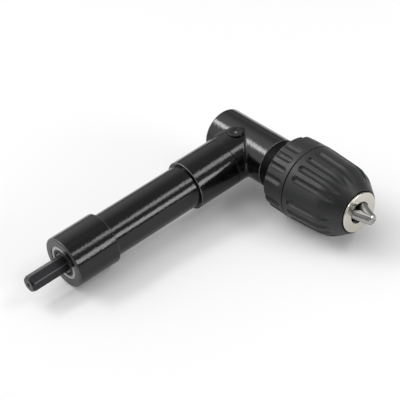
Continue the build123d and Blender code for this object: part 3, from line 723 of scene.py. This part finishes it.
# The painted body
class PaintedBody(bpy.types.Operator):
    """Turns the two collars and the tube between them"""

    bl_idname = "attachment.painted_body"
    bl_label = "Painted body"

    def execute(self, context):
        body = sizes("body")
        edge, tube = body.edge_round, radius("extension_tube")
        tube_start, tube_end = in_span("extension_tube")
        bore = tube - 0.002
        front, outer = high("rear_collar", 0), radius("rear_collar")
        seat, depth = body.bearing_radius, high("rear_bearing_outer_ring", 0)
        shaft_way = 0.75 * seat
        # the rear collar's round edges carry a painted highlight of bright steel
        dress_turned("rear_collar", "collar_rear_skin", input_axis, (
            (0.0, seat, edge / 2), (0.0, outer, body.collar_round), (front, outer, 1.5 * edge),
            (front, tube), (tube_start, tube), (tube_start, shaft_way), (depth, shaft_way),
            (depth, seat),
        ), highlight_share=0.2)
        tube_skin = band(tube_start, tube_end, bore, tube)
        dress_turned("extension_tube", "tube_skin", input_axis, tube_skin)
        start, outer = low("front_collar", 0), radius("front_collar")
        spigot_start, spigot = low("gear_head", 0), 0.85 * outer
        # the front collar's round edges carry a painted highlight of bright steel
        dress_turned("front_collar", "collar_front_skin", input_axis, (
            (start, tube), (start, outer, edge), (seam, outer, edge / 2), (seam, spigot),
            (spigot_start, spigot), (spigot_start, bore), (tube_end, bore), (tube_end, tube),
        ), highlight_share=0.45)
        return {"FINISHED"}


# The gear head: one skin over a neck and a barrel, with turned ends
def skin_distance(points, body):
    """Distance from the head's skin, with the crotch between neck and barrel softened."""
    x, y, z = points[:, 0] - elbow, points[:, 1], points[:, 2]
    neck_out, barrel_out = np.hypot(y, z), np.hypot(x, z)
    neck = neck_out - body.neck_radius
    neck = np.where(x > 0, np.hypot(np.maximum(neck, 0), x) + np.minimum(neck, 0), neck)
    barrel = barrel_out - body.barrel_radius
    facing = z * z / np.maximum(neck_out * barrel_out, 1e-12)
    soft = np.maximum(body.crotch * (1 - np.clip(facing, 0, 1)) * (x < 0), 1e-6)
    meet = np.clip(soft - abs(neck - barrel), 0, None) / soft
    return np.minimum(neck, barrel) - meet * meet * soft / 4


def skin_normals(points, body):
    """Unit gradient of the skin's distance."""
    slopes = np.stack([
        skin_distance(points + step, body) - skin_distance(points - step, body)
        for step in np.eye(3) * SLOPE_STEP
    ], axis=1)
    return slopes / np.linalg.norm(slopes, axis=1)[:, None]


def barrel_cuts(body):
    """Stations where the barrel's skin meets its turned ends."""
    return barrel_rear + 1.5 * body.barrel_round, barrel_front - 2 * body.edge_round


def head_lump(body):
    """Rough closed lump of the neck and the barrel, remeshed to even faces."""
    parts = MeshParts()
    over = 3 * body.head_grid
    for axis, start, end, outer in (
        (input_axis, seam - over, elbow, body.neck_radius),
        (output_axis, barrel_rear - over, barrel_front + over, body.barrel_radius),
    ):
        parts.turn(axis, band(start, end, 0.0, outer), SMALL_COLUMNS)
    return modify(parts.build("head_lump"), "REMESH", mode="VOXEL", voxel_size=body.head_grid)


def head_skin(parts, body):
    """Adds the head's skin, open at the neck's seam and at the barrel's ends."""
    lump = head_lump(body)
    points = np.array([vertex.co for vertex in lump.data.vertices])
    stations = -points[:, 1]
    inside = (points[:, 0] > seam) & (stations < barrel_front) & (stations > barrel_rear)
    settled = points[inside]
    for _ in range(SETTLE_STEPS):
        settled = settled - skin_distance(settled, body)[:, None] * skin_normals(settled, body)
    points[inside] = settled
    lump.data.vertices.foreach_set("co", points.astype(np.float32).ravel())
    pocket = plug_radius + body.plug_gap
    room = band(plug_floor, 2 * plug_floor, 0.0, pocket)
    cut(lump, turned_piece("pocket", plug_axis, room, HIDDEN_COLUMNS))
    rear_cut, front_cut = barrel_cuts(body)
    shape = bmesh.new()
    shape.from_mesh(lump.data)
    bpy.data.objects.remove(lump)
    cut_off(shape, (
        ((seam + body.edge_round, 0, 0), (-1, 0, 0)), ((0, -front_cut, 0), (0, -1, 0)),
        ((0, -rear_cut, 0), (0, 1, 0)),
    ))
    points = np.array([vertex.co for vertex in shape.verts])
    shape.verts.index_update()
    faces = [[vertex.index for vertex in face.verts] for face in shape.faces]
    shape.free()
    from_plug = points[:, :2] - (plug_x, 0.0)
    across = np.maximum(np.linalg.norm(from_plug, axis=1), TINY)[:, None]
    wall = np.hstack((-from_plug / across, 0 * across))
    gradient = skin_normals(points, body)
    off_skin = abs(skin_distance(points, body)) > OFF_SKIN
    normals = []
    for face in faces:
        x, y, z = points[face].mean(axis=0)
        past_wall = math.hypot(x - plug_x, y) - pocket
        on_wall = abs(past_wall) < ON_FACE and off_skin[face].any()
        if z < 0 or not (past_wall < -ON_FACE / 2 or on_wall):
            normals.append(gradient[face])
        elif abs(z - plug_floor) < ON_FACE:
            normals.append([(0.0, 0.0, 1.0)] * len(face))
        else:
            normals.append(wall[face])
    parts.add(points, faces, normals)


class GearHead(bpy.types.Operator):
    """Builds the gear head's skin with its turned ends"""

    bl_idname = "attachment.gear_head"
    bl_label = "Gear head"

    def execute(self, context):
        body = sizes("body")
        parts = MeshParts()
        head_skin(parts, body)
        edge, neck, barrel = body.edge_round, body.neck_radius, body.barrel_radius
        spigot, spigot_start = 0.84 * neck, low("gear_head", 0)
        bearing, seat = radius("front_bearing_outer_ring"), radius("spindle_bearing_outer_ring")
        groove = body.seam_groove
        rear_cut, front_cut = barrel_cuts(body)
        parts.turn(input_axis, (
            (seam + edge, neck), (seam + groove, neck, groove / 2), (seam + groove, neck - groove),
            (seam, neck - groove), (seam, spigot), (spigot_start, spigot), (spigot_start, bearing),
            (seam + edge, bearing),
        ))
        front = band(front_cut, barrel_front, seat, barrel, last=edge)
        # the barrel's front edge carries a painted highlight of bright steel
        parts.turn(output_axis, front, highlight_share=0.5)
        parts.turn(output_axis, band(barrel_rear, rear_cut, 0.0, barrel, body.barrel_round))
        dress(parts.build("head_skin"), "gear_head")
        return {"FINISHED"}


class GreasePlug(bpy.types.Operator):
    """Makes the round plug with its cross recess"""

    bl_idname = "attachment.grease_plug"
    bl_label = "Grease plug"

    def execute(self, context):
        body = sizes("body")
        top, bottom, stem = plug_top(), low("grease_plug", 2), 0.6 * plug_radius
        head_round = 0.00035
        plug = turned_piece("plug_head", plug_axis, (
            (top, 0.0), (top, plug_radius, head_round), (plug_floor, plug_radius),
            (plug_floor, stem), (bottom, stem), (bottom, 0.0),
        ), SMALL_COLUMNS)
        half, arm = body.recess_width / 2, body.recess_slot / 2
        outline = ((-half, -arm), (half, -arm), (half, arm), (-half, arm))
        start = (plug_x, 0.0, top - body.recess_depth)
        for turn in (math.radians(45.0), math.radians(135.0)):
            across = (math.cos(turn), math.sin(turn), 0.0)
            up = (-math.sin(turn), math.cos(turn), 0.0)
            cut(plug, prism("recess", outline, start, across, up, 2 * body.recess_depth))
        dress(soften(plug, width=0.00008), "grease_plug")
        return {"FINISHED"}


class FrontCap(bpy.types.Operator):
    """Turns the dark cap between the barrel and the chuck"""

    bl_idname = "attachment.front_cap"
    bl_label = "Front cap"

    def execute(self, context):
        edge = sizes("body").edge_round
        start, end = out_span("front_cap")
        outer, seat = radius("front_cap"), radius("spindle_seal")
        bore, step = 0.6 * outer, -low("spindle_seal", 1)
        dress_turned("front_cap", "cap_skin", output_axis, (
            (start, seat), (start, outer, edge / 2), (end, outer, edge), (end, bore, edge / 2),
            (step, bore), (step, seat),
        ))
        return {"FINISHED"}


class DriveShank(bpy.types.Operator):
    """Makes the hexagonal shank and the shaft behind it"""

    bl_idname = "attachment.drive_shank"
    bl_label = "Drive shank"

    def execute(self, context):
        body = sizes("body")
        start, end = low("input_shaft", 0), low("rear_bearing_inner_ring", 0)
        journal, corner = high("input_shaft", 1), high("input_shaft", 2)
        angles = [math.radians(60.0 * i) for i in range(6)]
        outline = [(corner * math.cos(a), corner * math.sin(a)) for a in angles]
        shank = prism("shank", outline, (start, 0, 0), (0, 0, 1), (0, -1, 0), end - start)
        lead, past_corner = body.shank_chamfer, corner * 1.001
        cut(shank, turned_piece("trim", input_axis, (
            (start, 0.0), (start, corner - lead), (start + lead * math.sqrt(3), past_corner),
            (end + lead, past_corner), (end + lead, 0.0),
        ), TOOL_COLUMNS), "INTERSECT")
        dimple = body.dimple
        drill = 0.7 * dimple
        cut(shank, turned_piece("mark", input_axis, (
            (start - lead, 0.0), (start - lead, 2.5 * drill), (start + 0.4 * dimple, drill),
            (start + 2 * dimple, drill), (start + 2.5 * dimple, 0.0),
        ), MARK_COLUMNS))
        dress(soften(shank, width=0.00025), "input_shaft")
        seat_end, shaft_end = high("front_bearing_inner_ring", 0), high("input_shaft", 0)
        stub = 0.875 * journal
        dress(turned_piece("shaft_inside", input_axis, (
            (end, 0.0), (end, journal), (seat_end, journal), (seat_end, stub), (shaft_end, stub),
            (shaft_end, 0.0),
        ), HIDDEN_COLUMNS), "input_shaft")
        return {"FINISHED"}


class RearBearing(bpy.types.Operator):
    """Turns the rings and shields of the rear bearing"""

    bl_idname = "attachment.rear_bearing"
    bl_label = "Rear bearing"

    def execute(self, context):
        edge, wall = 0.00035, 0.0019
        start, end = in_span("rear_bearing_outer_ring")
        outer, journal = radius("rear_bearing_outer_ring"), high("input_shaft", 1)
        for name, big, small in (
            ("bearing_outer_ring", outer, outer - wall),
            ("bearing_inner_ring", journal + wall, journal),
        ):
            ring = band(start, end, small, big, edge, edge, edge / 2)
            dress_turned("rear_" + name, name, input_axis, ring)
        thick, lip, curl = 0.0003, 0.0004, 0.0001
        parts = MeshParts()
        first, last = in_span("rear_bearing_shields")
        land_in, land_out = journal + wall + 0.00045, radius("rear_bearing_shields")
        for face, step in ((first, thick), (last, -thick)):
            parts.turn(input_axis, (
                (face, land_in), (face, land_out - 2 * lip, thick),
                (face + 0.8 * step, land_out - lip, thick / 2), (face + 0.8 * step, land_out),
                (face + 1.8 * step, land_out), (face + 1.8 * step, land_out - lip - curl),
                (face + step, land_out - 2 * lip - curl), (face + step, land_in),
            ))
        dress(parts.build("bearing_shields"), "rear_bearing_shields")
        return {"FINISHED"}


# The chuck
def fluted_piece(name, corners, group_middle, depth_at, past, inner_radius):
    """Turned piece whose outer side has four groups of four flutes.

    depth_at gives a flute's depth at stations, and past how far they lie past its round end.
    Nothing inside inner_radius is fluted.
    """
    chuck = sizes("chuck")
    sections = outline_sections(corners, FLUTED_STEP)
    rows, leaving, arriving = (
        np.array([section[i] for section in sections]) for i in (0, 2, 3)
    )
    normals = leaving + np.roll(arriving, 1, axis=0)
    normals /= np.linalg.norm(normals, axis=1)[:, None]
    stations, distances = rows[:, :1], rows[:, 1:]
    centres = np.array([
        math.radians(group_middle + FLUTE_PITCH * (i - 1.5) + GROUP_PITCH * group)
        for group in range(4) for i in range(4)
    ])
    columns = chuck.columns
    angles = centres[0] + np.arange(columns) * 2 * math.pi / columns
    half = chuck.flute_width / 2
    curve = (half * half + chuck.flute_depth ** 2) / (2 * chuck.flute_depth)
    offsets = (angles[:, None] - centres[None, :] + math.pi) % (2 * math.pi) - math.pi
    across = distances * np.sin(np.abs(offsets).min(axis=1))[None, :]
    inside = np.clip(curve ** 2 - across ** 2 - past(stations) ** 2, 0, None)
    depth = np.sqrt(inside) - (curve - depth_at(stations))
    depth = chuck.flute_soft * np.logaddexp(0.0, depth / chuck.flute_soft)
    depth[(distances[:, 0] < inner_radius) | (normals[:, 1] < 0.0)] = 0.0
    points = output_axis.point(
        stations - depth * normals[:, :1], distances - depth * normals[:, 1:], angles[None, :]
    ).reshape(-1, 3)
    faces = grid_faces(len(rows), columns).reshape(-1, 4)
    if faces_inward(points, faces[0], output_axis.normal(leaving[0], angles[0])):
        faces = faces[:, ::-1]
    mesh = bpy.data.meshes.new(name)
    mesh.from_pydata(points.tolist(), [], faces.tolist())
    mesh.shade_smooth()
    mesh.set_sharp_from_angle(angle=math.radians(40.0))
    return put(name, mesh)


class RearRing(bpy.types.Operator):
    """Makes the chuck's rear ring with its open flutes"""

    bl_idname = "attachment.rear_ring"
    bl_label = "Chuck rear ring"

    def execute(self, context):
        chuck = sizes("chuck")
        end = ring_front - chuck.ring_stop - chuck.flute_width / 2
        relief_start, relief = ring_front - chuck.relief_depth, chuck.relief_radius
        outer, bore = radius("chuck_rear_ring"), 0.01732
        edge = taper = 0.0003

        def past_end(stations):
            return np.maximum(stations - end, 0.0)

        def full_depth(stations):
            size = chuck.ring_round
            short = np.clip(chuck_rear + size - stations, 0.0, size)
            return chuck.flute_depth - (size - np.sqrt(size ** 2 - short ** 2))

        ring = fluted_piece("chuck_ring_skin", (
            (chuck_rear, bore), (chuck_rear, outer - taper, chuck.ring_round),
            (ring_front, outer, edge), (ring_front, relief), (relief_start, relief),
            (relief_start, bore),
        ), RING_GROUP, full_depth, past_end, inner_radius=0.92 * outer)
        dress(ring, "chuck_rear_ring")
        return {"FINISHED"}


class GripSleeve(bpy.types.Operator):
    """Makes the grip sleeve with its closed flutes"""

    bl_idname = "attachment.grip_sleeve"
    bl_label = "Grip sleeve"

    def execute(self, context):
        chuck = sizes("chuck")
        start = sleeve_rear + chuck.sleeve_start + chuck.flute_width / 2
        bend, stop = sleeve_front - chuck.flute_bend, sleeve_front - chuck.sleeve_stop
        lip, lip_depth = radius("nose_ring") - chuck.nose_inset + 0.0003, 0.0018
        corner = sleeve_front - chuck.corner_back
        bore_end, bore = corner - chuck.bore_stop, chuck.bore_radius
        throat = bore - 0.0008
        rim_round, nose_round, lip_round = 0.0005, 0.00025, 0.0001
        gone = 1.3  # share of the way from bend to stop where nothing is left of a flute

        def before_start(stations):
            return np.maximum(start - stations, 0.0)

        def falling_depth(stations):
            share = np.clip((stations - bend) / (stop - bend), 0.0, gone)
            return chuck.flute_depth * (1.0 - share ** 2)

        sleeve = fluted_piece("grip_sleeve_skin", (
            (sleeve_rear, bore), (sleeve_rear, radius("grip_sleeve"), rim_round),
            (corner, chuck.corner_radius, chuck.blend),
            (sleeve_front, chuck.nose_radius, nose_round), (sleeve_front, lip, lip_round),
            (sleeve_front - lip_depth, lip), (corner, throat), (bore_end, throat),
            (bore_end, bore),
        ), SLEEVE_GROUP, falling_depth, before_start, inner_radius=0.9 * chuck.nose_radius)
        dress(sleeve, "grip_sleeve")
        return {"FINISHED"}


class NoseRing(bpy.types.Operator):
    """Turns the plated nose ring"""

    bl_idname = "attachment.nose_ring"
    bl_label = "Nose ring"

    def execute(self, context):
        chuck = sizes("chuck")
        outer, hole = radius("nose_ring") - chuck.nose_inset, chuck.hole_radius
        inner = outer - 0.001
        rear_round, front_round, hole_round = 0.0002, 0.0005, 0.00025
        dress_turned("nose_ring", "nose_ring_skin", output_axis, (
            (nose_rear, inner), (nose_rear, outer, rear_round), (nose_front, outer, front_round),
            (nose_front, hole, hole_round), (sleeve_front, hole), (sleeve_front, inner),
        ))
        return {"FINISHED"}


def jaw_blank(name, out, tilt, chuck):
    """Inclined cylinder of a jaw, cut to a wedge between the other two."""
    slope, jaw = math.tan(tilt), chuck.jaw_radius

    def centre(station):
        away = chuck.tip_radius - jaw / math.cos(tilt) + (jaw_tip - station) * slope
        return Vector((elbow, -station, 0.0)) + out * away

    back, front = centre(jaw_tip - chuck.jaw_length * math.cos(tilt)), centre(jaw_tip + 2 * jaw)
    along = (front - back).normalized()
    side = along.cross(out).normalized()
    turns = [2 * math.pi * i / HIDDEN_COLUMNS for i in range(HIDDEN_COLUMNS)]
    outline = [(jaw * math.cos(a), jaw * math.sin(a)) for a in turns]
    blank = prism(name, outline, back, side.cross(along), side, (front - back).length)
    apex = Vector((elbow, 0.0, 0.0)) + out * (chuck.jaw_split / 2 / math.sin(math.pi / 3))
    planes = [((0.0, -jaw_tip, 0.0), Vector((0.0, -1.0, 0.0)))]
    for turn in (-1.0, 1.0):
        edge = Matrix.Rotation(turn * math.pi / 3, 3, "Y") @ out
        planes.append((apex, -(out - edge * out.dot(edge)).normalized()))
    shape = bmesh.new()
    shape.from_mesh(blank.data)
    cut_off(shape, planes, fill=True)
    bmesh.ops.recalc_face_normals(shape, faces=shape.faces)
    shape.to_mesh(blank.data)
    shape.free()
    return blank


class Jaws(bpy.types.Operator):
    """Makes the three jaws"""

    bl_idname = "attachment.jaws"
    bl_label = "Jaws"

    def execute(self, context):
        chuck = sizes("chuck")
        lead, tip = chuck.tip_chamfer, chuck.tip_radius
        back, wide, slant = jaw_tip - 2 * chuck.jaw_length, 0.03, 0.02
        for number, letter in enumerate("abc", start=1):
            axis = Vector(joint_of["jaw_slide_" + letter]["axis"])
            tilt = math.acos(axis.y)
            out = Vector((axis.x, 0.0, axis.z)).normalized()
            jaw = jaw_blank("jaw_skin_%d" % number, out, tilt, chuck)
            cut(jaw, turned_piece("tip", output_axis, (
                (back, 0.0), (back, wide), (jaw_tip - lead - slant, wide),
                (jaw_tip - lead, tip + lead * math.tan(tilt)),
                (jaw_tip, tip - lead, 1.4 * lead), (jaw_tip, 0.0),
            ), TOOL_COLUMNS), "INTERSECT")
            dress(soften(jaw, width=0.0001), "jaw_%d" % number)
        return {"FINISHED"}


class InnerParts(bpy.types.Operator):
    """Gives every CAD node that still shows its finish"""

    bl_idname = "attachment.inner_parts"
    bl_label = "Inner parts"

    def execute(self, context):
        for name, node in frame["nodes"].items():
            if not node.hide_render:
                coat(node, slot_of[name])
        return {"FINISHED"}


# Studio
# Of each lamp: azimuth and elevation in degrees, width and height
LAMPS = {
    "side_lamp": (28.0, 16.0, 0.50, 0.26),
    "high_lamp": (45.0, 50.0, 0.45, 0.20),
    "rear_lamp": (-155.0, 46.0, 0.50, 0.12),
}


def direction(azimuth, elevation):
    return Vector((
        math.sin(azimuth) * math.cos(elevation), -math.cos(azimuth) * math.cos(elevation),
        math.sin(elevation),
    ))


def add_floor(studio):
    """Floor under the chuck and the rear collar, on which the attachment rests."""
    chuck_drop, collar_drop = radius("grip_sleeve"), radius("rear_collar")
    sine = (chuck_drop - collar_drop) / elbow
    cosine = math.sqrt(1.0 - sine * sine)
    half = studio.floor_size
    shape = bmesh.new()
    for x, y in ((-half, -half), (half, -half), (half, half), (-half, half)):
        shape.verts.new((x, y, -(collar_drop + sine * x) / cosine))
    shape.faces.new(shape.verts[:])
    floor = from_bmesh("floor", shape)
    nodes = Nodes(bpy.data.materials.new("floor_finish"))
    ray = nodes.node("LightPath")
    seen = nodes.scalar("MAXIMUM", ray["Is Camera Ray"], ray["Is Glossy Ray"])
    seen = nodes.scalar("MAXIMUM", seen, ray["Is Transmission Ray"])
    nodes.feed(nodes.shader, {
        "Base Color": (*studio.floor_colour, 1.0), "Roughness": 0.9, "Specular IOR Level": 0.0,
        "Emission Color": (1.0, 1.0, 1.0, 1.0),
        "Emission Strength": nodes.scalar("MULTIPLY", seen, studio.floor_glow),
    })
    floor.data.materials.append(nodes.owner)


def add_sky(studio):
    """Grey sky with a broad soft light behind, a soft box overhead and a dark horizon."""
    world = bpy.data.worlds.new("studio")
    bpy.context.scene.world = world
    nodes = Nodes(world, "Background")
    place = nodes.node("TexCoord")["Generated"]

    def glow(towards, start, end, first, last):
        """Strength from first to last as a ray's cosine with a direction rises."""
        facing = nodes.vector("DOT_PRODUCT", place, towards)
        return nodes.spread(facing, first, last, start, end, "SMOOTHSTEP")

    up = (0.0, 0.0, 1.0)
    behind = tuple(direction(math.radians(-150.0), math.radians(35.0)))
    left = tuple(direction(math.radians(-80.0), math.radians(20.0)))
    height = glow(up, 0.04, 0.20, studio.horizon_sky, studio.plain_sky)
    total = nodes.scalar("MULTIPLY", height, glow(left, 0.2, 0.8, 1.0, studio.left_shade))
    total = nodes.scalar("ADD", total, glow(behind, 0.45, 0.97, 0.0, studio.back_sky))
    total = nodes.scalar("ADD", total, glow(up, 0.93, 0.97, 0.0, studio.top_sky))
    nodes.feed(nodes.shader, {"Strength": total, "Color": (1.0, 1.0, 1.0, 1.0)})


def add_lamp(name, studio):
    """Flat lamp of a given radiance that faces the object."""
    azimuth, elevation, width, height = LAMPS[name]
    towards = direction(math.radians(azimuth), math.radians(elevation))
    lamp = bpy.data.lights.new(name, "AREA")
    lamp.shape = "RECTANGLE"
    lamp.size, lamp.size_y = width, height
    lamp.energy = getattr(studio, name) * math.pi * width * height
    holder = put(name, lamp)
    target = Vector((0.6 * elbow, -0.5 * sleeve_front, 0.0))
    holder.location = target + towards * studio.lamp_distance
    holder.rotation_mode = "QUATERNION"
    holder.rotation_quaternion = towards.to_track_quat("Z", "Y")
    holder.visible_camera = False


def add_camera(studio):
    """Camera at the photograph's angle."""
    azimuth, roll = studio.camera_azimuth, studio.camera_roll
    back = direction(azimuth, studio.camera_elevation)
    right = Vector((math.cos(azimuth), math.sin(azimuth), 0.0))
    up = back.cross(right)
    across = right * math.cos(roll) + up * math.sin(roll)
    upward = up * math.cos(roll) - right * math.sin(roll)
    place = Vector((elbow, 0.0, 0.0)) + back * studio.camera_distance
    place += across * studio.camera_across + upward * studio.camera_up
    data = bpy.data.cameras.new("camera")
    data.lens, data.sensor_width = studio.camera_lens, 36.0
    data.clip_start, data.clip_end = 0.01, 100.0
    camera = put("camera", data)
    turn = Matrix((across, upward, back)).transposed().to_4x4()
    camera.matrix_world = Matrix.Translation(place) @ turn
    bpy.context.scene.camera = camera


class StudioStage(bpy.types.Operator):
    """Sets up the floor, the sky, the lamps and the camera"""

    bl_idname = "attachment.stage"
    bl_label = "Studio stage"

    def execute(self, context):
        studio = sizes("studio")
        bpy.context.scene.view_settings.view_transform = "Standard"
        add_floor(studio)
        add_sky(studio)
        for name in LAMPS:
            add_lamp(name, studio)
        add_camera(studio)
        return {"FINISHED"}


class AttachmentPanel(bpy.types.Panel):
    """Lists the pieces of the attachment"""

    bl_idname = "VIEW3D_PT_attachment"
    bl_label = "Right angle attachment"
    bl_space_type = "VIEW_3D"
    bl_region_type = "UI"
    bl_category = "Attachment"

    def draw(self, context):
        layout = self.layout
        for operator in OPERATORS:
            layout.operator(operator.bl_idname)
        for group in GROUPS:
            settings = getattr(context.scene, group)
            box = layout.box()
            box.label(text=type(settings).__doc__)
            for name in settings.bl_rna.properties.keys():
                if name not in ("rna_type", "name"):
                    box.prop(settings, name)


OPERATORS = (
    StudioStage, PaintedBody, GearHead, GreasePlug, FrontCap, DriveShank, RearBearing, RearRing,
    GripSleeve, NoseRing, Jaws, InnerParts,
)


def register():
    for group in (*GROUPS.values(), *OPERATORS, AttachmentPanel):
        bpy.utils.register_class(group)
    for name, group in GROUPS.items():
        setattr(bpy.types.Scene, name, PointerProperty(type=group))


def unregister():
    for name in GROUPS:
        delattr(bpy.types.Scene, name)
    for group in (AttachmentPanel, *OPERATORS[::-1], *GROUPS.values()):
        bpy.utils.unregister_class(group)


def main():
    register()
    bpy.ops.attachment.stage()
    bpy.ops.attachment.painted_body()
    bpy.ops.attachment.gear_head()
    bpy.ops.attachment.grease_plug()
    bpy.ops.attachment.front_cap()
    bpy.ops.attachment.drive_shank()
    bpy.ops.attachment.rear_bearing()
    bpy.ops.attachment.rear_ring()
    bpy.ops.attachment.grip_sleeve()
    bpy.ops.attachment.nose_ring()
    bpy.ops.attachment.jaws()
    bpy.ops.attachment.inner_parts()


if __name__ == "__main__":
    main()
